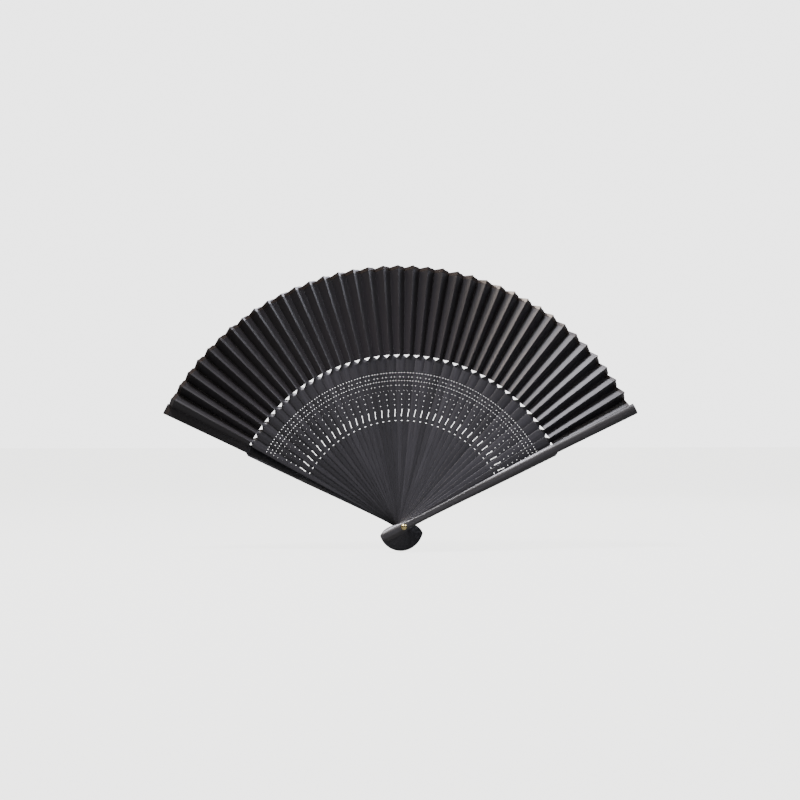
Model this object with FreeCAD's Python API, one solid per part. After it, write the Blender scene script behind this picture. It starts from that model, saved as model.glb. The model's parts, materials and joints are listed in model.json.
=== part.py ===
"""A folding fan: two guards and a row of pierced ribs turn on one brass rivet and carry a pleated leaf.

The rivet runs along Y through the origin, +Z is up, and the open fan faces -Y with its middle rib upright.
Sticks are counted from 0, the back guard on the left, and each one lies in front of the stick before it.
A stick is drawn standing along +Z, with its right side at +X, and is then turned about the rivet.
Lengths are in millimetres and angles in degrees.
"""
import FreeCAD, Part
from math import atan, cos, radians, sin, sqrt, tan
import os

V = FreeCAD.Vector

# --- The open fan ---
STICK_COUNT = 39         # places round the rivet, the two guards included
OPEN_ANGLE = 126.8       # from the back guard's axis to the front guard's
GUARD_LENGTH = 192.0     # from the rivet to a guard's square tip
TAIL_RADIUS = 18.2       # from the rivet to the rounded end of every stick
LEAF_SHORT = 1.2         # a guard's tip stands this far past the leaf
LEAF_DEPTH = 65.3        # from the leaf's outer edge to its inner edge

# --- Ribs ---
RIB_THICKNESS = 0.44
RIB_GAP = 0.12           # between neighbouring ribs
RIB_TAIL_WIDTH = 8.8
RIB_WIDTHS = [(0.0, 6.8), (0.15, 4.9), (0.30, 5.4), (0.60, 7.2), (0.88, 8.3)]
SHOULDER_WIDTH = 8.5     # where the flat, pierced part ends
SHOULDER_DROP = 2.6      # from the leaf's inner edge down to the start of the shoulder
NECK_DROP = 0.1          # from the leaf's inner edge down to the end of the shoulder
BLADE_INSET = 0.2        # from the edge of a pleat's panel to the edge of the blade's root
BLADE_TIP_WIDTH = 3.4
BLADE_THICKNESS = 0.20
BLADE_SHORT = 3.2        # a blade ends this far inside the leaf's outer edge

# --- Guards ---
GUARD_THICKNESS = 2.4
GUARD_EDGE = 1.0         # thickness left at the rounded long edges
GUARD_FLAT = 2.4         # width of the flat band along the outer face
GUARD_TAIL_WIDTH = 8.4
GUARD_WIDTHS = [(0.0, 6.8), (0.15, 5.0), (0.30, 5.4), (0.60, 7.2), (0.88, 8.5)]
GUARD_SHOULDER_WIDTH = 8.9
GUARD_STEP = 1.6         # step of the outer long edge where the leaf begins
GUARD_ROOT_WIDTH = 6.4   # beyond the step
GUARD_TIP_WIDTH = 8.1
GUARD_TIP_ROUND = 0.5
SPLAY_START = 15.0       # the guards lean outwards beyond here, to leave room for the pleats
PLEAT_ROOM = 0.05        # between a guard and the nearest pleat when the fan is closed
GLUE_GAP = 0.02          # between the back guard and the rib glued to it
TAIL_CORNER = 2.0        # half width where a stick's side meets its rounded end
TAIL_SWELL = 4.0         # from the rounded end back to the tail's widest place

# --- Piercings, each row at a distance below the first one ---
FIRST_ROW_DROP = 10.6    # from the shoulder to the first row
HOLE_DIAMETER = 0.5
HOLE_ROWS = [(0.0, (-2.0, 0.0, 2.0)), (3.1, (-1.25, 1.25)), (5.9, (-2.0, 0.0, 2.0)),
             (9.3, (-1.85, 1.85)), (13.2, (-1.85, 1.85)), (15.7, (0.0,)), (17.4, (-1.85, 1.85)),
             (19.6, (0.0,)), (21.1, (-1.85, 1.85)), (23.6, (0.0,)),
             (39.1, (-1.1, 1.1)), (42.2, (-0.95, 0.95)), (45.5, (-1.0, 1.0))]
SCROLL_DROP = 29.4       # centre of the slender scroll
SCROLL_HEIGHT = 5.6
SCROLL_WIDTH = 1.0
SLIT_DROP = 35.2         # centre of the short crosswise slit
SLIT_LENGTH = 1.3
SLIT_WIDTH = 0.4

# --- Leaf ---
LEAF_THICKNESS = 0.10
LEAF_CLEARANCE = 0.05    # between the leaf and a blade
PLEAT_DEPTH = 5.8        # ridge to valley at the outer edge
LEAF_INSET = 0.6         # from a guard's outer long edge to the end of the leaf
TAPE_HEIGHT = 2.6        # of the tape folded over the outer edge
TAPE_THICKNESS = 0.10
TAPE_CLEARANCE = 0.04    # between the tape and the leaf inside it, and between the tape and a guard

# --- Rivet ---
SHAFT_DIAMETER = 2.0
SHAFT_CLEARANCE = 0.15   # round the shaft, in every stick
HEAD_DIAMETER = 4.5
HEAD_HEIGHT = 1.2
HEAD_CLEARANCE = 0.05    # between a head and its guard
CAP_SKIN = 0.5           # metal over the shaft's end in the back cap

# --- Worked out from the sizes above ---
LAST = STICK_COUNT - 1
MIDDLE = LAST // 2
STEP_ANGLE = OPEN_ANGLE / LAST
STACK_PITCH = RIB_THICKNESS + RIB_GAP
LEAF_OUTER = GUARD_LENGTH - LEAF_SHORT               # every distance from here on is from the rivet
LEAF_INNER = LEAF_OUTER - LEAF_DEPTH
BLADE_END = LEAF_OUTER - BLADE_SHORT
SHOULDER = LEAF_INNER - SHOULDER_DROP
NECK = LEAF_INNER - NECK_DROP
FIRST_ROW = SHOULDER - FIRST_ROW_DROP
BORE_RADIUS = SHAFT_DIAMETER / 2 + SHAFT_CLEARANCE
PANEL_SLOPE = tan(radians(STEP_ANGLE / 4))           # half a panel's width, per unit of radius
DEPTH_SLOPE = PLEAT_DEPTH / 2 / LEAF_OUTER           # half the pleat's depth, per unit of radius
BLADE_TILT = DEPTH_SLOPE / PANEL_SLOPE               # tangent of a blade's tilt
TILT_COS = 1 / sqrt(1 + BLADE_TILT ** 2)
NECK_WIDTH = 2 * (PANEL_SLOPE * NECK / TILT_COS - BLADE_INSET)
LEAF_OFFSET = (BLADE_THICKNESS / 2 + LEAF_CLEARANCE + LEAF_THICKNESS / 2) / TILT_COS
LEAF_HALF = LEAF_THICKNESS / 2 / TILT_COS            # half the leaf's thickness along Y
TAPE_INSIDE = LEAF_HALF + TAPE_CLEARANCE / TILT_COS  # Y from the leaf's middle to the tape
TAPE_OUTSIDE = TAPE_INSIDE + TAPE_THICKNESS / TILT_COS
TAPE_FOOT = LEAF_OUTER - TAPE_HEIGHT
END_OFFSET = TAPE_OUTSIDE + TAPE_CLEARANCE           # Y from a guard or its rib to the leaf's middle
# The pleats are nearest to a closed guard at the leaf's inner edge.
PLEAT_REACH = DEPTH_SLOPE * LEAF_INNER + LEAF_OFFSET + LEAF_HALF
SPLAY_SLOPE = (PLEAT_REACH + END_OFFSET + LEAF_HALF + PLEAT_ROOM) / (LEAF_INNER - SPLAY_START)


def stick_depth(stick):
    """Y of a rib's middle plane: each rib lies one pitch in front of the one before it."""
    return (MIDDLE - stick) * STACK_PITCH


BACK_FACE = stick_depth(0) + RIB_THICKNESS / 2 + GLUE_GAP            # inner face of the back guard
FRONT_FACE = stick_depth(LAST - 1) - RIB_THICKNESS / 2 - RIB_GAP     # inner face of the front guard


def splay(z):
    """How far a guard has leaned out of its own plane at a distance from the rivet."""
    return SPLAY_SLOPE * max(0.0, z - SPLAY_START)


def turned(shape, stick):
    """The shape turned about the rivet to a stick's place in the open fan."""
    placed = shape.copy()
    placed.rotate(V(0, 0, 0), V(0, 1, 0), (stick - MIDDLE) * STEP_ANGLE)
    return placed


def line(a, b):
    return Part.makeLine(V(a[0], 0, a[1]), V(b[0], 0, b[1]))


def arc(a, b, c):
    return Part.Arc(V(a[0], 0, a[1]), V(b[0], 0, b[1]), V(c[0], 0, c[1])).toShape()


def smooth(points):
    curve = Part.BSplineCurve()
    curve.interpolate([V(x, 0, z) for x, z in points])
    return curve.toShape()


# --- Outlines in the XZ plane ---

def tail_and_sides(tail_width, widths, top_left, top_right):
    """Edges of a stick from its top left corner round the tail to its top right corner.

    Each width stands at a share of the way from the rivet to the shoulder.
    """
    tail_z = -sqrt(TAIL_RADIUS ** 2 - TAIL_CORNER ** 2)
    right = [(tail_width / 2, TAIL_SWELL - TAIL_RADIUS)]
    right += [(width / 2, share * SHOULDER) for share, width in widths]
    left = [(-x, z) for x, z in reversed(right)]
    return [
        smooth([top_left] + left + [(-TAIL_CORNER, tail_z)]),
        arc((-TAIL_CORNER, tail_z), (0, -TAIL_RADIUS), (TAIL_CORNER, tail_z)),
        smooth([(TAIL_CORNER, tail_z)] + right + [top_right]),
    ]


def rib_outline():
    """The flat part of a rib, up to the start of its shoulder."""
    left = (-SHOULDER_WIDTH / 2, SHOULDER)
    right = (SHOULDER_WIDTH / 2, SHOULDER)
    return Part.Wire(tail_and_sides(RIB_TAIL_WIDTH, RIB_WIDTHS, left, right) + [line(right, left)])


def glued_rib_outline():
    """The first rib: its blade stays flat, because it is glued to the back guard."""
    corners = [(SHOULDER_WIDTH / 2, SHOULDER), (NECK_WIDTH / 2, NECK), (BLADE_TIP_WIDTH / 2, BLADE_END)]
    corners += [(-x, z) for x, z in reversed(corners)]
    edges = tail_and_sides(RIB_TAIL_WIDTH, RIB_WIDTHS, corners[-1], corners[0])
    return Part.Wire(edges + [line(a, b) for a, b in zip(corners, corners[1:])])


def guard_edges(z):
    """X of a guard's inner and outer long edges where it carries the leaf."""
    share = (z - NECK) / (GUARD_LENGTH - NECK)
    outer = GUARD_SHOULDER_WIDTH / 2 - GUARD_STEP
    inner = outer - GUARD_ROOT_WIDTH
    growth = (GUARD_TIP_WIDTH - GUARD_ROOT_WIDTH) * share
    return inner - growth / 4, outer + growth * 3 / 4


def guard_outline():
    """A guard with its stepped, outer long edge on the right."""
    inner_root, outer_root = guard_edges(NECK)
    inner_tip, outer_tip = guard_edges(GUARD_LENGTH)
    shoulder = GUARD_SHOULDER_WIDTH / 2
    corner = GUARD_TIP_ROUND
    bend = corner * (1 - sqrt(0.5))
    top = GUARD_LENGTH
    edges = tail_and_sides(GUARD_TAIL_WIDTH, GUARD_WIDTHS, (-shoulder, SHOULDER), (shoulder, SHOULDER))
    edges += [
        line((shoulder, SHOULDER), (outer_root, NECK)),
        line((outer_root, NECK), (outer_tip, top - corner)),
        arc((outer_tip, top - corner), (outer_tip - bend, top - bend), (outer_tip - corner, top)),
        line((outer_tip - corner, top), (inner_tip + corner, top)),
        arc((inner_tip + corner, top), (inner_tip + bend, top - bend), (inner_tip, top - corner)),
        line((inner_tip, top - corner), (inner_root, NECK)),
        line((inner_root, NECK), (-shoulder, SHOULDER)),
    ]
    return Part.Wire(edges)


# --- Openings cut through a stick, as wires in the XZ plane ---

def round_hole(x, z, radius):
    return Part.Wire(Part.makeCircle(radius, V(x, 0, z), V(0, 1, 0)))


def scroll(z):
    """Two drops joined by a thin neck, the upper one to the right and the lower one to the left."""
    w = SCROLL_WIDTH / 2
    h = SCROLL_HEIGHT / 2
    upper = [(0.35 * w, 0.0), (0.75 * w, 0.3 * h), (w, 0.65 * h), (0.75 * w, 0.95 * h),
             (0.25 * w, 0.95 * h), (0.0, 0.65 * h), (-0.1 * w, 0.3 * h)]
    lower = [(-x, -rise) for x, rise in upper]
    curve = Part.BSplineCurve()
    curve.interpolate([V(x, 0, z + rise) for x, rise in upper + lower], PeriodicFlag=True)
    return Part.Wire(curve.toShape())


def cross_slit(z):
    """A short slot with round ends, square to the rib."""
    half = SLIT_LENGTH / 2 - SLIT_WIDTH / 2
    rise = SLIT_WIDTH / 2
    return Part.Wire([
        line((-half, z + rise), (half, z + rise)),
        arc((half, z + rise), (half + rise, z), (half, z - rise)),
        line((half, z - rise), (-half, z - rise)),
        arc((-half, z - rise), (-half - rise, z), (-half, z + rise)),
    ])


def piercings():
    """Every opening of a rib, the rivet's bore included."""
    wires = [round_hole(0, 0, BORE_RADIUS)]
    wires += [scroll(FIRST_ROW - SCROLL_DROP), cross_slit(FIRST_ROW - SLIT_DROP)]
    for drop, offsets in HOLE_ROWS:
        wires += [round_hole(x, FIRST_ROW - drop, HOLE_DIAMETER / 2) for x in offsets]
    return wires


def face_with_openings(outline, openings):
    return Part.makeFace([outline] + openings, "Part::FaceMakerBullseye")


# --- Ribs ---

def blade_section(z, width, thickness, tilt):
    """A thin rectangle across the rib, its left side leaning forward by the angle tilt (radians)."""
    across = V(cos(tilt), sin(tilt), 0)
    through = V(-sin(tilt), cos(tilt), 0)
    corners = []
    for a, b in ((-1, -1), (1, -1), (1, 1), (-1, 1)):
        corners.append(V(0, 0, z) + across * (a * width / 2) + through * (b * thickness / 2))
    return Part.makePolygon(corners + corners[:1])


def make_rib_blank():
    """A rib in its own plane: flat and pierced up to the shoulder, then twisted to lie along a pleat."""
    flat = face_with_openings(rib_outline(), piercings()).extrude(V(0, RIB_THICKNESS, 0))
    flat.translate(V(0, -RIB_THICKNESS / 2, 0))
    tilt = atan(BLADE_TILT)
    sections = [
        blade_section(SHOULDER, SHOULDER_WIDTH, RIB_THICKNESS, 0.0),
        blade_section(NECK, NECK_WIDTH, BLADE_THICKNESS, tilt),
        blade_section(BLADE_END, BLADE_TIP_WIDTH, BLADE_THICKNESS, tilt),
    ]
    return flat.fuse(Part.makeLoft(sections, True, True))


def splayed(section, lean):
    """A section in the XY plane carried straight past the head, then leaning back (1) or forward (-1)."""
    below = TAIL_RADIUS + SPLAY_START + 1
    above = GUARD_LENGTH - SPLAY_START + 1
    face = Part.Face(Part.Wire(section))
    face.translate(V(0, 0, SPLAY_START))
    head = face.extrude(V(0, 0, -below))
    length = face.extrude(V(0, lean * SPLAY_SLOPE * above, above))
    return head.fuse(length)


def cut_to_outline(slab, face):
    """The part of a splayed slab inside an outline."""
    depth = GUARD_THICKNESS + splay(GUARD_LENGTH) + 5
    block = face.extrude(V(0, 2 * depth, 0))
    block.translate(V(0, -depth, 0))
    return slab.common(block)


def make_glued_rib():
    """The first rib follows the back guard's lean, its back face at Y = 0."""
    half = SHOULDER_WIDTH
    corners = [V(-half, 0, 0), V(half, 0, 0), V(half, -RIB_THICKNESS, 0), V(-half, -RIB_THICKNESS, 0)]
    slab = splayed(Part.makePolygon(corners + corners[:1]).Edges, 1)
    return cut_to_outline(slab, face_with_openings(glued_rib_outline(), piercings()))


# --- Guards ---

def make_guard_blank():
    """A guard with its inner face at Y = 0 and its rounded face in front."""
    half = GUARD_SHOULDER_WIDTH / 2 + 0.5
    flat = GUARD_FLAT / 2
    reach = half - flat
    drop = (GUARD_THICKNESS - GUARD_EDGE) * (reach / (reach - 0.5)) ** 2
    front = -GUARD_THICKNESS
    across = (flat + half) / 2
    edges = [
        Part.makeLine(V(-half, 0, 0), V(half, 0, 0)),
        Part.makeLine(V(half, 0, 0), V(half, front + drop, 0)),
        Part.Arc(V(half, front + drop, 0), V(across, front + drop / 4, 0), V(flat, front, 0)).toShape(),
        Part.makeLine(V(flat, front, 0), V(-flat, front, 0)),
        Part.Arc(V(-flat, front, 0), V(-across, front + drop / 4, 0), V(-half, front + drop, 0)).toShape(),
        Part.makeLine(V(-half, front + drop, 0), V(-half, 0, 0)),
    ]
    face = face_with_openings(guard_outline(), [round_hole(0, 0, BORE_RADIUS)])
    return cut_to_outline(splayed(edges, -1), face)


# --- Leaf ---

def creases():
    """Every fold line of the leaf from left to right, as (stick, place), where place(z) gives X and Y."""
    back_leaf = BACK_FACE - GLUE_GAP - RIB_THICKNESS - END_OFFSET
    front_leaf = FRONT_FACE + END_OFFSET

    def on_back_guard(edge):
        return lambda z: (edge(z), back_leaf + splay(z))

    def on_front_guard(edge):
        return lambda z: (edge(z), front_leaf - splay(z))

    def on_rib(stick, side):
        start = stick_depth(stick) - LEAF_OFFSET
        return lambda z: (side * PANEL_SLOPE * z, start + side * DEPTH_SLOPE * z)

    lines = [(0, on_back_guard(lambda z: LEAF_INSET - guard_edges(z)[1]))]
    lines.append((0, on_back_guard(lambda z: -guard_edges(z)[0])))
    for stick in range(1, LAST):
        lines += [(stick, on_rib(stick, -1)), (stick, on_rib(stick, 1))]
    lines.append((LAST, on_front_guard(lambda z: 0.0)))
    lines.append((LAST, on_front_guard(lambda z: guard_edges(z)[1] - LEAF_INSET)))
    return lines


def fold_point(stick, place, z, forward):
    """A point on a fold line, moved forward out of the leaf's middle surface, in the open fan."""
    x, y = place(z)
    angle = radians((stick - MIDDLE) * STEP_ANGLE)
    return V(x * cos(angle) + z * sin(angle), y - forward, z * cos(angle) - x * sin(angle))


def pleated(profile):
    """A closed profile of (distance from the rivet, forward) points carried across every fold."""
    rows = [[fold_point(stick, place, z, forward) for z, forward in profile] for stick, place in creases()]
    faces = []
    for ring in (rows[0], rows[-1]):
        faces.append(Part.Face(Part.makePolygon(ring + ring[:1])))
    for row, following in zip(rows, rows[1:]):
        for i in range(len(profile)):
            j = (i + 1) % len(profile)
            for corners in ((row[i], row[j], following[j]), (row[i], following[j], following[i])):
                faces.append(Part.Face(Part.makePolygon(list(corners) + [corners[0]])))
    skin = Part.makeCompound(faces)
    skin.sewShape()
    solid = Part.makeSolid(skin.Shells[0])
    if solid.Volume < 0:
        solid.reverse()
    return solid


def make_leaf():
    outer = LEAF_OUTER - TAPE_THICKNESS - TAPE_CLEARANCE
    return pleated([(LEAF_INNER, -LEAF_HALF), (TAPE_FOOT, -LEAF_HALF), (outer, -LEAF_HALF),
                    (outer, LEAF_HALF), (TAPE_FOOT, LEAF_HALF), (LEAF_INNER, LEAF_HALF)])


def make_tape():
    """The tape folded over the leaf's outer edge, a U in section."""
    roof = LEAF_OUTER - TAPE_THICKNESS
    return pleated([(TAPE_FOOT, TAPE_OUTSIDE), (TAPE_FOOT, TAPE_INSIDE), (roof, TAPE_INSIDE),
                    (roof, -TAPE_INSIDE), (TAPE_FOOT, -TAPE_INSIDE), (TAPE_FOOT, -TAPE_OUTSIDE),
                    (LEAF_OUTER, -TAPE_OUTSIDE), (LEAF_OUTER, TAPE_OUTSIDE)])


# --- Rivet ---

def dome(height, diameter):
    """A shallow cap of a sphere on the XZ plane, rising towards -Y."""
    radius = (height ** 2 + (diameter / 2) ** 2) / (2 * height)
    ball = Part.makeSphere(radius, V(0, radius - height, 0))
    keep = Part.makeCylinder(diameter, height + 1, V(0, 0, 0), V(0, -1, 0))
    return ball.common(keep)


def make_rivet():
    """The shaft and its domed front head, one piece."""
    front = FRONT_FACE - GUARD_THICKNESS - HEAD_CLEARANCE
    back = BACK_FACE + GUARD_THICKNESS + HEAD_CLEARANCE + HEAD_HEIGHT - CAP_SKIN
    head = dome(HEAD_HEIGHT, HEAD_DIAMETER)
    head.translate(V(0, front, 0))
    shaft = Part.makeCylinder(SHAFT_DIAMETER / 2, back - front, V(0, front, 0), V(0, 1, 0))
    return head.fuse(shaft)


def make_rivet_cap():
    """The domed cap pressed on the shaft's back end."""
    seat = BACK_FACE + GUARD_THICKNESS + HEAD_CLEARANCE
    cap = dome(HEAD_HEIGHT, HEAD_DIAMETER)
    cap.rotate(V(0, 0, 0), V(0, 0, 1), 180)
    cap.translate(V(0, seat, 0))
    socket = Part.makeCylinder(SHAFT_DIAMETER / 2, HEAD_HEIGHT - CAP_SKIN, V(0, seat, 0), V(0, 1, 0))
    return cap.cut(socket)


# --- The pieces ---

def pieces():
    guard = make_guard_blank()
    front_guard = guard.copy()
    front_guard.translate(V(0, FRONT_FACE, 0))
    back_guard = guard.copy()
    back_guard.rotate(V(0, 0, 0), V(0, 0, 1), 180)
    back_guard.translate(V(0, BACK_FACE, 0))
    first_rib = make_glued_rib()
    first_rib.translate(V(0, BACK_FACE - GLUE_GAP, 0))
    made = {
        "back_guard": turned(back_guard, 0),
        "front_guard": turned(front_guard, LAST),
        "rib_01": turned(first_rib, 0),
    }
    blank = make_rib_blank()
    for stick in range(1, LAST):
        rib = blank.copy()
        rib.translate(V(0, stick_depth(stick), 0))
        made["rib_%02d" % (stick + 1)] = turned(rib, stick)
    made["leaf"] = make_leaf()
    made["leaf_tape"] = make_tape()
    made["rivet"] = make_rivet()
    made["rivet_cap"] = make_rivet_cap()
    return made


os.makedirs("parts", exist_ok=True)
for name, shape in pieces().items():
    shape.exportStep("parts/%s.step" % name)
    box = shape.BoundBox
    print("%-12s valid %s  solids %d  volume %9.2f mm3  %6.1f x %5.1f x %6.1f" % (
        name, shape.isValid(), len(shape.Solids), shape.Volume, box.XLength, box.YLength, box.ZLength))
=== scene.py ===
"""The finished look of a black folding fan: dyed wooden sticks, a pleated silk leaf and a brass rivet.

The rivet runs along Y through the origin, +Z is up and the open fan faces -Y.
Sticks are counted from 0, the back guard on the left, to the front guard on the right.
Lengths are in metres.
"""

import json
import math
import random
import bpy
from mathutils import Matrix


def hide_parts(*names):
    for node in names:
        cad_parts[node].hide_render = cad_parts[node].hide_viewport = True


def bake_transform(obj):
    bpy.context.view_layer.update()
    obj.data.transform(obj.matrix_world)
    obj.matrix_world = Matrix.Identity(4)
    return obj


bl_info = {
    "name": "Folding Fan",
    "version": (1, 0, 0),
    "blender": (4, 5, 0),
    "location": "3D View > Sidebar > Fan",
    "description": "Pleated silk leaf, dyed wood and brass for a folding fan",
    "category": "Object",
}

import bmesh
import bpy
from mathutils import Matrix, Vector

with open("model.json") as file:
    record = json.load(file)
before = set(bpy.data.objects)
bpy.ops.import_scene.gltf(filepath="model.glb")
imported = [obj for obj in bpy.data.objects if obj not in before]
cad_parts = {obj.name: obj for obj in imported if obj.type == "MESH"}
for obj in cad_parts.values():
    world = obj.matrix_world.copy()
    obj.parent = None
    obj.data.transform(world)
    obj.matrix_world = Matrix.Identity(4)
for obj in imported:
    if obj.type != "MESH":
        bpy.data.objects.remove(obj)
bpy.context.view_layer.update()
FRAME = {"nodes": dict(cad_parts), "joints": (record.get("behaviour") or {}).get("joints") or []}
DRIVER = FRAME["joints"][0]

# --- Sizes shared with the sticks ---
MM = 0.001
STEP = math.radians(DRIVER["range_deg"][1])     # from one stick to the next
LAST = len(FRAME["joints"])                     # the front guard
MIDDLE = LAST // 2
PITCH = 0.56 * MM            # from one rib to the next, through the stack
BLADE_START = 0.1235         # a rib is flat nearer the rivet than this, and a tilted blade beyond it

# --- Leaf ---
LEAF_OUTER = 190.8 * MM
LEAF_INNER = 125.5 * MM
LEAF_ROWS = 14
PANEL_SLOPE = math.tan(STEP / 4)                # half a panel's width, as a share of the radius
DEPTH_SLOPE = 0.0152                            # half a pleat's depth, as a share of the radius
PANEL_LEAN = math.atan2(DEPTH_SLOPE, PANEL_SLOPE)
PANEL_OFFSET = 0.19 * MM     # the silk lies this far in front of the blade it is glued to
VALLEY_OFFSET = 0.28 * MM    # and its valley fold a little further in front
RIDGE_OFFSET = -0.20 * MM    # the ridge fold wraps round the blade's edge to its back
EDGE_ROOM = 0.02             # from a blade's edge to the silk's bend, as a share of half a panel
BLADE_ROOT, BLADE_TIP = 2.45 * MM, 1.7 * MM     # half widths of a blade
RIDGE_RISE = 0.6 * MM        # ridges reach this far past the outer edge, and valleys fall short by it
RIDGE_CURVE = 3              # the power of the distance from the inner edge that the rise follows
CREASE_SEED = 7              # picks how the creases stray

# --- Tape ---
TAPE_CLEAR = 0.3 * MM        # the silk ends this far inside the tape's fold
TAPE_GLUE = 0.02 * MM        # from the silk's face to the middle of the tape's wall
TAPE_FOLD = 0.1 * MM         # height of the tape's rounded fold

# --- Leaf ends on the guards ---
GUARD_LEAF_BACK = 10.11 * MM                    # Y of the leaf where it is glued to the back guard
GUARD_LEAF_FRONT = -10.11 * MM
SPLAY_START = 15.0 * MM      # the guards lean away from the stack beyond this distance
SPLAY_SLOPE = 0.0244870
NECK = 125.4 * MM            # where a guard steps in for the leaf
GUARD_LENGTH = 192.0 * MM
GUARD_OUTER = 2.85 * MM      # from a guard's axis to its outer edge, at the neck
GUARD_GROWTH = 1.7 * MM      # a guard is this much wider at its tip than at its neck
GROWTH_OUTWARDS = 0.75       # the share of it on the outer side
LEAF_INSET = 0.6 * MM        # the leaf ends this far inside the guard's outer edge

# --- Cloth coordinates ---
CLOTH_SCALE = 10             # one unit of the cloth's own coordinates is 100 mm
CLOTH_CENTRE = 0.5


def linear(code):
    """A hex sRGB colour as linear RGB."""
    values = [int(code[i:i + 2], 16) / 255 for i in (1, 3, 5)]
    return tuple(v / 12.92 if v <= 0.04045 else ((v + 0.055) / 1.055) ** 2.4 for v in values)


def rgba(colour):
    """A colour with full opacity."""
    return (*colour, 1.0)


class FanSizes(bpy.types.PropertyGroup):
    """Sizes of the leaf and its edge."""
    silk_thickness: bpy.props.FloatProperty(
        name="Silk thickness", description="Thickness of the leaf", default=0.05 * MM, unit="LENGTH")
    tape_height: bpy.props.FloatProperty(
        name="Tape height", description="Height of the tape over the leaf's outer edge",
        default=2.6 * MM, unit="LENGTH")
    tape_thickness: bpy.props.FloatProperty(
        name="Tape thickness", description="Thickness of the edge tape", default=0.03 * MM, unit="LENGTH")
    unevenness: bpy.props.FloatProperty(
        name="Unevenness", description="How far a crease's end strays in or out at the leaf's outer edge",
        default=0.35 * MM, unit="LENGTH")


class FanColours(bpy.types.PropertyGroup):
    """Colours of the finishes."""
    stick: bpy.props.FloatVectorProperty(
        name="Ribs", description="Black-dyed wood of the ribs", subtype="COLOR", min=0, max=1,
        default=linear("#29282b"))
    guard: bpy.props.FloatVectorProperty(
        name="Guards", description="Polished black-dyed wood of the guards", subtype="COLOR", min=0, max=1,
        default=linear("#2a2929"))
    silk: bpy.props.FloatVectorProperty(
        name="Silk", description="Black silk of the leaf", subtype="COLOR", min=0, max=1,
        default=linear("#1b191b"))
    tape: bpy.props.FloatVectorProperty(
        name="Edge tape", description="Satin tape over the leaf's edge", subtype="COLOR", min=0, max=1,
        default=linear("#2a2522"))
    brass: bpy.props.FloatVectorProperty(
        name="Brass", description="Brass of the rivet", subtype="COLOR", min=0, max=1,
        default=linear("#d9c88c"))
    floor: bpy.props.FloatVectorProperty(
        name="Floor", description="Pale floor", subtype="COLOR", min=0, max=1, default=linear("#f4f4f2"))


# --- Materials ---
BEVEL_SAMPLES = 4
COLOUR_A, COLOUR_B, COLOUR_RESULT = 6, 7, 2     # sockets of a colour mix


def new_material(name):
    """An empty node material and its tree."""
    material = bpy.data.materials.new(name)
    material.use_nodes = True
    material.node_tree.nodes.clear()
    return material, material.node_tree


def add(tree, kind, inputs=(), **settings):
    """Adds a node. Inputs map a socket to a value, a node's first output, or (node, output).

    Sockets go by name, or by number where a name comes twice.
    """
    node = tree.nodes.new(kind)
    for key, value in settings.items():
        setattr(node, key, value)
    for socket, value in dict(inputs).items():
        if isinstance(value, bpy.types.Node):
            value = (value, 0)
        if isinstance(value, tuple) and isinstance(value[0], bpy.types.Node):
            tree.links.new(value[0].outputs[value[1]], node.inputs[socket])
        else:
            node.inputs[socket].default_value = value
    return node


def shade(colour, factor):
    """A colour made darker or lighter."""
    return rgba([min(1.0, c * factor) for c in colour])


def reach_from_rivet(tree, xyz):
    """Distance of a point from the rivet's axis."""
    x_square = add(tree, "ShaderNodeMath", {0: (xyz, "X"), 1: (xyz, "X")}, operation="MULTIPLY")
    z_square = add(tree, "ShaderNodeMath", {0: (xyz, "Z"), 1: (xyz, "Z")}, operation="MULTIPLY")
    squares = add(tree, "ShaderNodeMath", {0: x_square, 1: z_square}, operation="ADD")
    return add(tree, "ShaderNodeMath", {0: squares}, operation="SQRT")


def stick_place(tree, from_guard):
    """Place across and along the stick that a point belongs to, and the stick's number."""
    place = add(tree, "ShaderNodeTexCoord")
    xyz = add(tree, "ShaderNodeSeparateXYZ", {"Vector": (place, "Object")})
    angle = add(tree, "ShaderNodeMath", {0: (xyz, "X"), 1: (xyz, "Z")}, operation="ARCTAN2")
    reach = reach_from_rivet(tree, xyz)
    if from_guard:
        side = add(tree, "ShaderNodeMath", {0: (xyz, "Y")}, operation="SIGN")
        number = add(tree, "ShaderNodeMath", {0: side, 1: -float(MIDDLE)}, operation="MULTIPLY")
    else:
        layers = add(tree, "ShaderNodeMath", {0: (xyz, "Y"), 1: -PITCH}, operation="DIVIDE")
        by_depth = add(tree, "ShaderNodeMath", {0: layers}, operation="ROUND")
        steps = add(tree, "ShaderNodeMath", {0: angle, 1: STEP}, operation="DIVIDE")
        by_angle = add(tree, "ShaderNodeMath", {0: steps}, operation="ROUND")
        beyond = add(tree, "ShaderNodeMath", {0: reach, 1: BLADE_START}, operation="GREATER_THAN")
        number = add(tree, "ShaderNodeMix", {0: beyond, 2: by_depth, 3: by_angle})
    turn = add(tree, "ShaderNodeMath", {0: number, 1: STEP}, operation="MULTIPLY")
    lean = add(tree, "ShaderNodeMath", {0: angle, 1: turn}, operation="SUBTRACT")
    sine = add(tree, "ShaderNodeMath", {0: lean}, operation="SINE")
    cosine = add(tree, "ShaderNodeMath", {0: lean}, operation="COSINE")
    across = add(tree, "ShaderNodeMath", {0: reach, 1: sine}, operation="MULTIPLY")
    along = add(tree, "ShaderNodeMath", {0: reach, 1: cosine}, operation="MULTIPLY")
    return across, along, number


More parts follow.
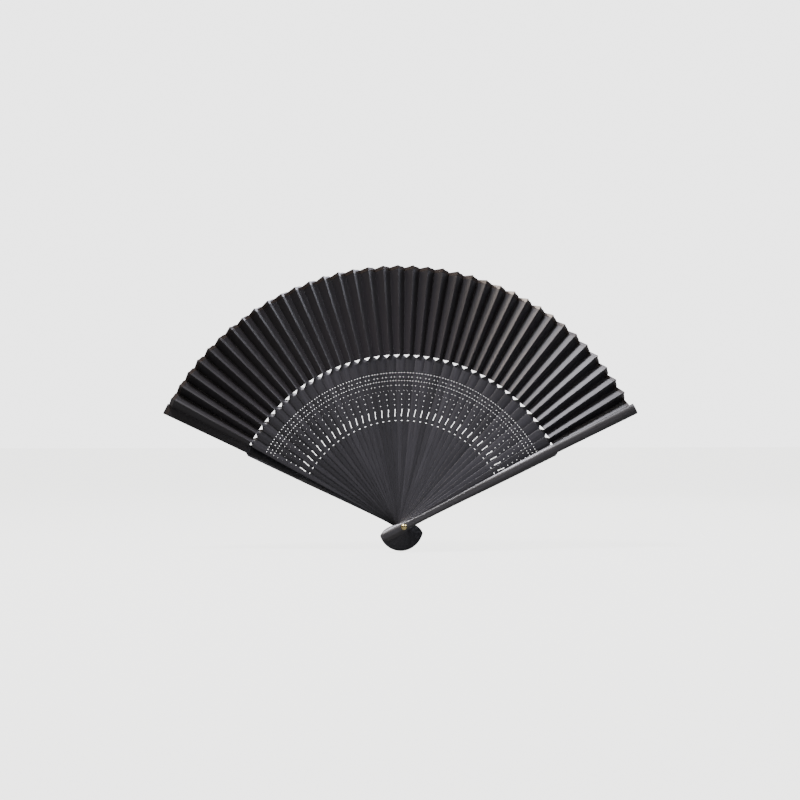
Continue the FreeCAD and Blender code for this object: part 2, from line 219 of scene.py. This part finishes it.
# Patterns of the wood, in cycles per metre: fibres are 0.5 mm apart and 25 mm long, drawn 1.2 mm
# apart so that they show, and the dye's cloudy take-up is some 8 mm across and 22 mm long.
FIBRES_ACROSS, FIBRES_ALONG = 850.0, 40.0
CLOUDS_ACROSS, CLOUDS_ALONG = 120.0, 45.0
GRAIN_SHIFT = 40.0           # sets each stick's grain apart from the next one's
FIBRE_DARK, FIBRE_LIGHT = 0.25, 2.0             # shares of the wood's colour
CLOUD_WEIGHT, CLOUD_SHADE = 0.6, 0.7
STICK_DARK, STICK_LIGHT = 0.65, 1.4             # from stick to stick
GLOSSIER, DULLER = 0.06, 0.1                    # how far the roughness strays with the fibres
FIBRE_RELIEF = 0.00002       # fibres stand some 0.02 mm proud
CROWN = 35.0                 # fall of a stick's face, per metre of the distance from its middle, squared
RIB_ROUGHNESS, RIB_EDGE = 0.4, 0.3 * MM
GUARD_ROUGHNESS, GUARD_EDGE = 0.32, 1.4 * MM


def dyed_wood(name, colour, from_guard, roughness, edge):
    """Black-dyed close-grained wood, planed and waxed: fine fibres along the stick under a satin sheen."""
    material, tree = new_material(name)
    across, along, number = stick_place(tree, from_guard)
    own = (add(tree, "ShaderNodeTexWhiteNoise", {"W": number}, noise_dimensions="1D"), "Value")
    shift = add(tree, "ShaderNodeMath", {0: own, 1: GRAIN_SHIFT}, operation="MULTIPLY")
    fibre_place = add(tree, "ShaderNodeCombineXYZ", {
        "X": add(tree, "ShaderNodeMath", {0: across, 1: FIBRES_ACROSS}, operation="MULTIPLY"),
        "Y": add(tree, "ShaderNodeMath", {0: along, 1: FIBRES_ALONG}, operation="MULTIPLY"),
        "Z": shift})
    fibres = add(tree, "ShaderNodeTexNoise", {
        "Vector": fibre_place, "Scale": 1.0, "Detail": 4.0, "Roughness": 0.6, "Distortion": 0.2})
    cloud_place = add(tree, "ShaderNodeCombineXYZ", {
        "X": add(tree, "ShaderNodeMath", {0: across, 1: CLOUDS_ACROSS}, operation="MULTIPLY"),
        "Y": add(tree, "ShaderNodeMath", {0: along, 1: CLOUDS_ALONG}, operation="MULTIPLY"),
        "Z": shift})
    clouds = add(tree, "ShaderNodeTexNoise", {"Vector": cloud_place, "Scale": 1.0, "Detail": 2.0})
    tone = add(tree, "ShaderNodeMix", {
        0: (fibres, "Fac"), COLOUR_A: shade(colour, FIBRE_DARK),
        COLOUR_B: shade(colour, FIBRE_LIGHT)}, data_type="RGBA")
    cloudy = add(tree, "ShaderNodeMath", {0: (clouds, "Fac"), 1: CLOUD_WEIGHT}, operation="MULTIPLY")
    worn = add(tree, "ShaderNodeMix", {
        0: cloudy, COLOUR_A: (tone, COLOUR_RESULT), COLOUR_B: shade(colour, CLOUD_SHADE)},
        data_type="RGBA")
    own_tone = add(tree, "ShaderNodeMapRange", {
        "Value": own, "To Min": STICK_DARK, "To Max": STICK_LIGHT})
    stick_tone = add(tree, "ShaderNodeHueSaturation", {"Color": (worn, COLOUR_RESULT), "Value": own_tone})
    gloss = add(tree, "ShaderNodeMapRange", {
        "Value": (fibres, "Fac"), "To Min": roughness - GLOSSIER, "To Max": roughness + DULLER})
    rounded = add(tree, "ShaderNodeBevel", {"Radius": edge}, samples=BEVEL_SAMPLES)
    # the face is planed slightly round from side to side
    across_square = add(tree, "ShaderNodeMath", {0: across, 1: across}, operation="MULTIPLY")
    crown = add(tree, "ShaderNodeMath", {0: across_square, 1: -CROWN}, operation="MULTIPLY")
    relief = add(tree, "ShaderNodeMath", {0: (fibres, "Fac"), 1: FIBRE_RELIEF, 2: crown},
                 operation="MULTIPLY_ADD")
    bump = add(tree, "ShaderNodeBump", {
        "Height": relief, "Strength": 1.0, "Distance": 1.0, "Normal": rounded})
    skin = add(tree, "ShaderNodeBsdfPrincipled", {
        "Base Color": stick_tone, "Roughness": gloss, "IOR": 1.5,
        "Coat Weight": 0.15, "Coat Roughness": 0.3, "Normal": bump})
    add(tree, "ShaderNodeOutputMaterial", {"Surface": skin})
    return material


# Patterns of the cloth, in cycles per 100 mm across and down the leaf: warp threads are 0.15 mm
# apart, drawn at 0.45 mm so that they show.
WARP_SCALE, WEFT_SCALE = (220.0, 3.0, 1.0), (12.0, 220.0, 1.0)
PATCH_SCALE = (8.0, 5.0, 1.0)
WEFT_WEIGHT = 0.5
SILK_DARK, SILK_LIGHT = 0.75, 1.25              # shares of the silk's colour
PATCH_SHADE = 0.8
SHEEN_DEPTH = 0.65            # the leaf's depth, in its own coordinates
# painted sheen: shares of the silk's colour at the inner and at the outer edge
SHEEN_INNER, SHEEN_OUTER = 1.5, 0.7
PLEAT_EDGE = 0.35 * MM
WEAVE_RELIEF = 0.00008


def woven_silk(colour):
    """Tightly woven black silk, dyed and pressed in pleats: a satin sheen broken by fine warp threads."""
    material, tree = new_material("woven_silk")
    cloth = add(tree, "ShaderNodeUVMap", uv_map="cloth")
    warp = add(tree, "ShaderNodeMapping", {"Vector": cloth, "Scale": WARP_SCALE})
    weft = add(tree, "ShaderNodeMapping", {"Vector": cloth, "Scale": WEFT_SCALE})
    threads = add(tree, "ShaderNodeTexNoise", {"Vector": warp, "Scale": 1.0, "Detail": 3.0})
    picks = add(tree, "ShaderNodeTexNoise", {"Vector": weft, "Scale": 1.0, "Detail": 2.0})
    low_picks = add(tree, "ShaderNodeMath", {0: (picks, "Fac"), 1: WEFT_WEIGHT}, operation="MULTIPLY")
    weave = add(tree, "ShaderNodeMath", {0: (threads, "Fac"), 1: low_picks}, operation="ADD")
    bleach = add(tree, "ShaderNodeMapping", {"Vector": cloth, "Scale": PATCH_SCALE})
    patches = add(tree, "ShaderNodeTexNoise", {"Vector": bleach, "Scale": 1.0, "Detail": 2.0})
    tone = add(tree, "ShaderNodeMix", {
        0: (threads, "Fac"), COLOUR_A: shade(colour, SILK_DARK),
        COLOUR_B: shade(colour, SILK_LIGHT)}, data_type="RGBA")
    patchy = add(tree, "ShaderNodeMix", {
        0: (patches, "Fac"), COLOUR_A: (tone, COLOUR_RESULT),
        COLOUR_B: shade(colour, PATCH_SHADE)}, data_type="RGBA")
    # painted sheen: the silk's colour is made lighter near the inner edge and darker towards the outer
    # edge
    down = add(tree, "ShaderNodeSeparateXYZ", {"Vector": cloth})
    painted_sheen = add(tree, "ShaderNodeMapRange", {
        "Value": (down, "Y"), "From Max": SHEEN_DEPTH, "To Min": SHEEN_INNER, "To Max": SHEEN_OUTER})
    sheened = add(tree, "ShaderNodeHueSaturation", {"Color": (patchy, COLOUR_RESULT), "Value": painted_sheen})
    rounded = add(tree, "ShaderNodeBevel", {"Radius": PLEAT_EDGE}, samples=BEVEL_SAMPLES)
    bump = add(tree, "ShaderNodeBump", {
        "Height": weave, "Strength": 0.35, "Distance": WEAVE_RELIEF, "Normal": rounded})
    skin = add(tree, "ShaderNodeBsdfPrincipled", {
        "Base Color": sheened, "Roughness": 0.4, "IOR": 1.5, "Sheen Weight": 0.1,
        "Sheen Roughness": 0.4, "Normal": bump})
    add(tree, "ShaderNodeOutputMaterial", {"Surface": skin})
    return material


RIBBON_SCALE = (40.0, 300.0, 1.0)               # cycles per 100 mm along and across the tape
SATIN_DARK, SATIN_LIGHT = 0.7, 1.4              # shares of the tape's colour
TAPE_EDGE = 0.3 * MM
SATIN_RELIEF = 0.00006


def satin_tape(colour):
    """Narrow satin ribbon glued over the edge: smooth, with sharp glints along its folds."""
    material, tree = new_material("satin_tape")
    cloth = add(tree, "ShaderNodeUVMap", uv_map="cloth")
    run = add(tree, "ShaderNodeMapping", {"Vector": cloth, "Scale": RIBBON_SCALE})
    threads = add(tree, "ShaderNodeTexNoise", {"Vector": run, "Scale": 1.0, "Detail": 3.0})
    tone = add(tree, "ShaderNodeMix", {
        0: (threads, "Fac"), COLOUR_A: shade(colour, SATIN_DARK),
        COLOUR_B: shade(colour, SATIN_LIGHT)}, data_type="RGBA")
    rounded = add(tree, "ShaderNodeBevel", {"Radius": TAPE_EDGE}, samples=BEVEL_SAMPLES)
    bump = add(tree, "ShaderNodeBump", {
        "Height": (threads, "Fac"), "Strength": 0.3, "Distance": SATIN_RELIEF, "Normal": rounded})
    skin = add(tree, "ShaderNodeBsdfPrincipled", {
        "Base Color": (tone, COLOUR_RESULT), "Roughness": 0.24, "IOR": 1.55, "Coat Weight": 0.4,
        "Coat Roughness": 0.15, "Normal": bump})
    add(tree, "ShaderNodeOutputMaterial", {"Surface": skin})
    return material


SPECK_SCALE = 2600.0         # per metre: specks 0.4 mm across break up the painted shade round the rim and vary the roughness
RIM_SHADE_START, RIM_SHADE_END = 1.5 * MM, 2.2 * MM  # the painted shade round the rivet's rim begins and is fullest at these distances from the rivet's axis
# painted shade round the rim: the most of it, and the share of the brass's colour that it darkens to
RIM_SHADE_MOST = 0.9
SPECK_WEAK, SPECK_STRONG = 0.7, 1.2
RIM_SHADE_TONE = 0.25
BRASS_SMOOTH, BRASS_ROUGH = 0.14, 0.28


def turned_brass(colour):
    """Brass pin with a headed end, bright on its dome, with painted shade round its rim."""
    material, tree = new_material("turned_brass")
    place = add(tree, "ShaderNodeTexCoord")
    specks = add(tree, "ShaderNodeTexNoise", {
        "Vector": (place, "Object"), "Scale": SPECK_SCALE, "Detail": 3.0})
    xyz = add(tree, "ShaderNodeSeparateXYZ", {"Vector": (place, "Object")})
    # painted shade: the brass darkens round the rim of the rivet's head, as a dome turned from the light
    # would, broken up by the specks
    painted_rim_shade = add(tree, "ShaderNodeMapRange", {
        "Value": reach_from_rivet(tree, xyz), "From Min": RIM_SHADE_START, "From Max": RIM_SHADE_END,
        "To Min": 0.0, "To Max": RIM_SHADE_MOST})
    speckle = add(tree, "ShaderNodeMapRange", {
        "Value": (specks, "Fac"), "To Min": SPECK_WEAK, "To Max": SPECK_STRONG})
    rim_shade_share = add(tree, "ShaderNodeMath", {0: painted_rim_shade, 1: speckle}, operation="MULTIPLY")
    tone = add(tree, "ShaderNodeMix", {
        0: rim_shade_share, COLOUR_A: rgba(colour), COLOUR_B: shade(colour, RIM_SHADE_TONE)}, data_type="RGBA")
    rough = add(tree, "ShaderNodeMapRange", {
        "Value": (specks, "Fac"), "To Min": BRASS_SMOOTH, "To Max": BRASS_ROUGH})
    skin = add(tree, "ShaderNodeBsdfPrincipled", {
        "Base Color": (tone, COLOUR_RESULT), "Metallic": 1.0, "Roughness": rough})
    add(tree, "ShaderNodeOutputMaterial", {"Surface": skin})
    return material


def plain_floor(colour):
    """Matt painted board, lit to an even pale tone."""
    material, tree = new_material("painted_board")
    path = add(tree, "ShaderNodeLightPath")
    matt = add(tree, "ShaderNodeBsdfDiffuse", {"Color": shade(colour, FLOOR_SHADE)})
    lit = add(tree, "ShaderNodeEmission", {"Color": rgba(colour), "Strength": FLOOR_GLOW})
    both = add(tree, "ShaderNodeAddShader", {0: matt, 1: lit})
    seen = add(tree, "ShaderNodeMixShader", {0: (path, "Is Camera Ray"), 1: matt, 2: both})
    add(tree, "ShaderNodeOutputMaterial", {"Surface": seen})
    return material


# --- Shape of the leaf ---

def on_stick(stick, x, y, z):
    """A point given in a stick's own frame, turned to the stick's place."""
    turn = (stick - MIDDLE) * STEP
    return Vector((x * math.cos(turn) + z * math.sin(turn), y, z * math.cos(turn) - x * math.sin(turn)))


def panel_point(stick, side, z, offset=PANEL_OFFSET):
    """A point of the panel over a blade: side runs from -1 at the ridge to 1 at the valley."""
    y = (MIDDLE - stick) * PITCH - offset + side * DEPTH_SLOPE * z
    return on_stick(stick, side * PANEL_SLOPE * z, y, z)


def blade_side(z):
    """Where a blade's edge lies across its panel, as a share of the panel's half width."""
    share = (z - LEAF_INNER) / (LEAF_OUTER - LEAF_INNER)
    half_panel = z * math.hypot(PANEL_SLOPE, DEPTH_SLOPE)
    return (BLADE_ROOT + (BLADE_TIP - BLADE_ROOT) * share) / half_panel + EDGE_ROOM


def guard_edge(z):
    """How far a guard's outer edge lies from its axis."""
    growth = GUARD_GROWTH * (z - NECK) / (GUARD_LENGTH - NECK)
    return GUARD_OUTER + growth * GROWTH_OUTWARDS


def across_gap(gap, z, strays):
    """The leaf's points at one radius from stick number gap to the next, from left to right."""
    share = (z - LEAF_INNER) / (LEAF_OUTER - LEAF_INNER)
    peak = RIDGE_RISE * share ** RIDGE_CURVE
    edge = blade_side(z)
    splay = SPLAY_SLOPE * (z - SPLAY_START)
    outer = guard_edge(z)
    left, right = gap, gap + 1
    valley_z, ridge_z = z - peak + strays[0] * share, z + peak + strays[1] * share
    if gap == 0:
        points = [on_stick(0, LEAF_INSET - outer, GUARD_LEAF_BACK + splay, z),
                  on_stick(0, PANEL_SLOPE * z, GUARD_LEAF_BACK + splay, z)]
    else:
        points = [panel_point(left, 0, z), panel_point(left, edge, z),
                  panel_point(left, 1, valley_z, VALLEY_OFFSET)]
    if right == LAST:
        points += [on_stick(LAST, 0, GUARD_LEAF_FRONT - splay, z),
                   on_stick(LAST, outer - LEAF_INSET, GUARD_LEAF_FRONT - splay, z)]
    else:
        points += [panel_point(right, -1, ridge_z, RIDGE_OFFSET), panel_point(right, -edge, z),
                   panel_point(right, 0, z)]
    return points


def sheet_mesh(name, rows, lift, thickness):
    """A grid of points as a sheet with its own cloth coordinates; lift moves each row along Y."""
    mesh = bpy.data.meshes.new(name)
    build = bmesh.new()
    cloth = build.loops.layers.uv.new("cloth")
    grid, flat = [], []
    down = 0.0
    for r, row in enumerate(rows):
        if r:
            down += (row[0] - rows[r - 1][0]).length + abs(lift[r] - lift[r - 1])
        grid.append([build.verts.new(p + Vector((0, lift[r], 0))) for p in row])
        run = [0.0]
        for a, b in zip(row, row[1:]):
            run.append(run[-1] + (b - a).length)
        flat.append([(CLOTH_SCALE * (u - run[-1] / 2) + CLOTH_CENTRE, CLOTH_SCALE * down)
                     for u in run])
    for r in range(len(rows) - 1):
        for c in range(len(rows[0]) - 1):
            corners = [(r, c), (r, c + 1), (r + 1, c + 1), (r + 1, c)]
            face = build.faces.new([grid[i][j] for i, j in corners])
            for loop, (i, j) in zip(face.loops, corners):
                loop[cloth].uv = flat[i][j]
    build.to_mesh(mesh)
    build.free()
    piece = bpy.data.objects.new(name, mesh)
    bpy.context.scene.collection.objects.link(piece)
    wall = piece.modifiers.new("wall", "SOLIDIFY")
    wall.thickness = thickness
    wall.offset = 0
    bpy.ops.object.select_all(action="DESELECT")
    piece.select_set(True)
    bpy.context.view_layer.objects.active = piece
    bpy.ops.object.modifier_apply(modifier=wall.name)
    return piece


def bend_across(piece, gap):
    """Bakes the piece's placing into its mesh."""
    if gap == 0:
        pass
    elif gap == LAST - 1:
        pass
    else:
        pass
    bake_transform(piece)


class FAN_OT_leaf(bpy.types.Operator):
    """Makes the pleated silk leaf and the tape over its edge, one pleat for each gap between sticks"""
    bl_idname = "fan.leaf"
    bl_label = "Leaf and edge tape"

    def execute(self, context):
        sizes, colours = context.scene.fan_sizes, context.scene.fan_colours
        silk, satin = woven_silk(colours.silk), satin_tape(colours.tape)
        chance = random.Random(CREASE_SEED)
        top = LEAF_OUTER - TAPE_CLEAR
        heights = [LEAF_INNER + (top - LEAF_INNER) * r / (LEAF_ROWS - 1) for r in range(LEAF_ROWS)]
        foot = LEAF_OUTER - sizes.tape_height
        out = (sizes.silk_thickness / 2 + TAPE_GLUE) / math.cos(PANEL_LEAN)
        shoulder = LEAF_OUTER - TAPE_FOLD
        wrap = [(foot, -out), (shoulder, -out), (LEAF_OUTER, 0.0), (shoulder, out), (foot, out)]
        for gap in range(LAST):
            reach = sizes.unevenness
            strays = [chance.uniform(-reach, reach) for _ in range(2)]
            number = f"{gap + 1:02d}"
            rows = [across_gap(gap, z, strays) for z in heights]
            pleat = sheet_mesh(f"pleat_{number}", rows, [0.0] * LEAF_ROWS, sizes.silk_thickness)
            tape_rows = [across_gap(gap, z, strays) for z, _ in wrap]
            tape = sheet_mesh(f"tape_{number}", tape_rows, [y for _, y in wrap], sizes.tape_thickness)
            for piece, finish, slot in ((pleat, silk, "leaf_silk"), (tape, satin, "edge_tape")):
                piece.data.materials.append(finish)
                bend_across(piece, gap)
            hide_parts("leaf")
            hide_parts("leaf_tape")
        return {"FINISHED"}


class FAN_OT_ribs(bpy.types.Operator):
    """Gives the pierced ribs their black-dyed wood"""
    bl_idname = "fan.ribs"
    bl_label = "Ribs"

    def execute(self, context):
        wood = dyed_wood("dyed_wood", context.scene.fan_colours.stick, False, RIB_ROUGHNESS, RIB_EDGE)
        for name, node in FRAME["nodes"].items():
            if name.startswith("rib_"):
                node.data.materials.clear()
                node.data.materials.append(wood)
        return {"FINISHED"}


class FAN_OT_guards(bpy.types.Operator):
    """Gives the two guards their polished black-dyed wood"""
    bl_idname = "fan.guards"
    bl_label = "Guards"

    def execute(self, context):
        colour = context.scene.fan_colours.guard
        wood = dyed_wood("polished_dyed_wood", colour, True, GUARD_ROUGHNESS, GUARD_EDGE)
        for name in ("back_guard", "front_guard"):
            FRAME["nodes"][name].data.materials.clear()
            FRAME["nodes"][name].data.materials.append(wood)
        return {"FINISHED"}


class FAN_OT_rivet(bpy.types.Operator):
    """Gives the rivet and its cap their brass"""
    bl_idname = "fan.rivet"
    bl_label = "Rivet"

    def execute(self, context):
        brass = turned_brass(context.scene.fan_colours.brass)
        for name in ("rivet", "rivet_cap"):
            FRAME["nodes"][name].data.materials.clear()
            FRAME["nodes"][name].data.materials.append(brass)
        return {"FINISHED"}


# --- Stage ---
WHITE = (1, 1, 1, 1)
FLOOR_SIZE = 40
FLOOR_HEIGHT = -18.8 * MM
FLOOR_SHADE = 0.15           # share of the floor's colour that it throws back at the fan
FLOOR_GLOW = 3.4
BACKDROP_GLOW = 3.4
AROUND = 0.06                # soft light from all round
TARGET = Vector((0.0, 0.0, 0.085))
# name, direction from the fan, distance, side, watts, colour
LAMPS = [("key", (-0.28, -0.34, 0.9), 0.9, 0.16, 21.0, "#f6f5ff"),
         ("upper_left", (-0.65, -0.18, 0.74), 0.9, 0.3, 5.0, "#fff0e2"),
         ("upper_right", (0.79, -0.06, 0.61), 0.9, 0.45, 10.0, "#eff1ff"),
         ("upper_front", (-0.23, -0.66, 0.68), 0.9, 0.3, 2.2, "#fff8f0"),
         ("front", (0.12, -0.97, -0.2), 1.0, 0.4, 1.4, "#e6e9ff"),
         ("back", (0.3, 0.85, 0.45), 0.9, 0.4, 6.0, "#ffffff")]
CAMERA_PLACE = Vector((-0.1058, -0.8594, 0.0603))
CAMERA_PITCH, CAMERA_ROLL, CAMERA_YAW = 0.0367, -0.0010, 0.1211
CAMERA_LENS = 53.12
CAMERA_NEAR = 0.01


class FAN_OT_stage(bpy.types.Operator):
    """Makes the floor, the soft lights and the camera"""
    bl_idname = "fan.stage"
    bl_label = "Stage"

    def execute(self, context):
        bpy.ops.object.select_all(action="DESELECT")
        bpy.ops.mesh.primitive_plane_add(size=FLOOR_SIZE, location=(0, 0, FLOOR_HEIGHT))
        floor = context.object
        floor.name = "floor"
        bpy.ops.object.transform_apply(location=True, rotation=True, scale=True)
        floor.data.materials.append(plain_floor(context.scene.fan_colours.floor))
        for name, direction, distance, side, power, tint in LAMPS:
            place = TARGET + Vector(direction).normalized() * distance
            aim = (TARGET - place).to_track_quat("-Z", "Y").to_euler()
            bpy.ops.object.light_add(type="AREA", location=place, rotation=aim)
            lamp = context.object
            lamp.name = name
            lamp.data.size = side
            lamp.data.energy = power
            lamp.data.color = linear(tint)
        world = bpy.data.worlds.new("white_studio")
        world.use_nodes = True
        tree = world.node_tree
        tree.nodes.clear()
        path = add(tree, "ShaderNodeLightPath")
        soft = add(tree, "ShaderNodeBackground", {"Color": WHITE, "Strength": AROUND})
        white = add(tree, "ShaderNodeBackground", {"Color": WHITE, "Strength": BACKDROP_GLOW})
        seen = add(tree, "ShaderNodeMixShader", {0: (path, "Is Camera Ray"), 1: soft, 2: white})
        add(tree, "ShaderNodeOutputWorld", {"Surface": seen})
        context.scene.world = world
        forward = Vector((math.sin(CAMERA_YAW) * math.cos(CAMERA_PITCH),
                          math.cos(CAMERA_YAW) * math.cos(CAMERA_PITCH), math.sin(CAMERA_PITCH)))
        aim = forward.to_track_quat("-Z", "Y").to_matrix() @ Matrix.Rotation(CAMERA_ROLL, 3, "Z")
        bpy.ops.object.camera_add(location=CAMERA_PLACE, rotation=aim.to_euler())
        camera = context.object
        camera.data.lens = CAMERA_LENS
        camera.data.clip_start = CAMERA_NEAR
        context.scene.camera = camera
        return {"FINISHED"}


class FAN_PT_panel(bpy.types.Panel):
    """Lists the fan's pieces, sizes and colours"""
    bl_label = "Folding Fan"
    bl_idname = "FAN_PT_panel"
    bl_space_type = "VIEW_3D"
    bl_region_type = "UI"
    bl_category = "Fan"

    def draw(self, context):
        for group in (context.scene.fan_sizes, context.scene.fan_colours):
            for name in group.__annotations__:
                self.layout.prop(group, name)
        for operator in OPERATORS:
            self.layout.operator(operator.bl_idname)


OPERATORS = (FAN_OT_ribs, FAN_OT_guards, FAN_OT_rivet, FAN_OT_leaf, FAN_OT_stage)
CLASSES = (FanSizes, FanColours, *OPERATORS, FAN_PT_panel)


def register():
    for cls in CLASSES:
        bpy.utils.register_class(cls)
    bpy.types.Scene.fan_sizes = bpy.props.PointerProperty(type=FanSizes)
    bpy.types.Scene.fan_colours = bpy.props.PointerProperty(type=FanColours)


def unregister():
    del bpy.types.Scene.fan_colours
    del bpy.types.Scene.fan_sizes
    for cls in reversed(CLASSES):
        bpy.utils.unregister_class(cls)


def main():
    register()
    bpy.ops.fan.ribs()
    bpy.ops.fan.guards()
    bpy.ops.fan.rivet()
    bpy.ops.fan.leaf()
    bpy.ops.fan.stage()


if __name__ == "__main__":
    main()
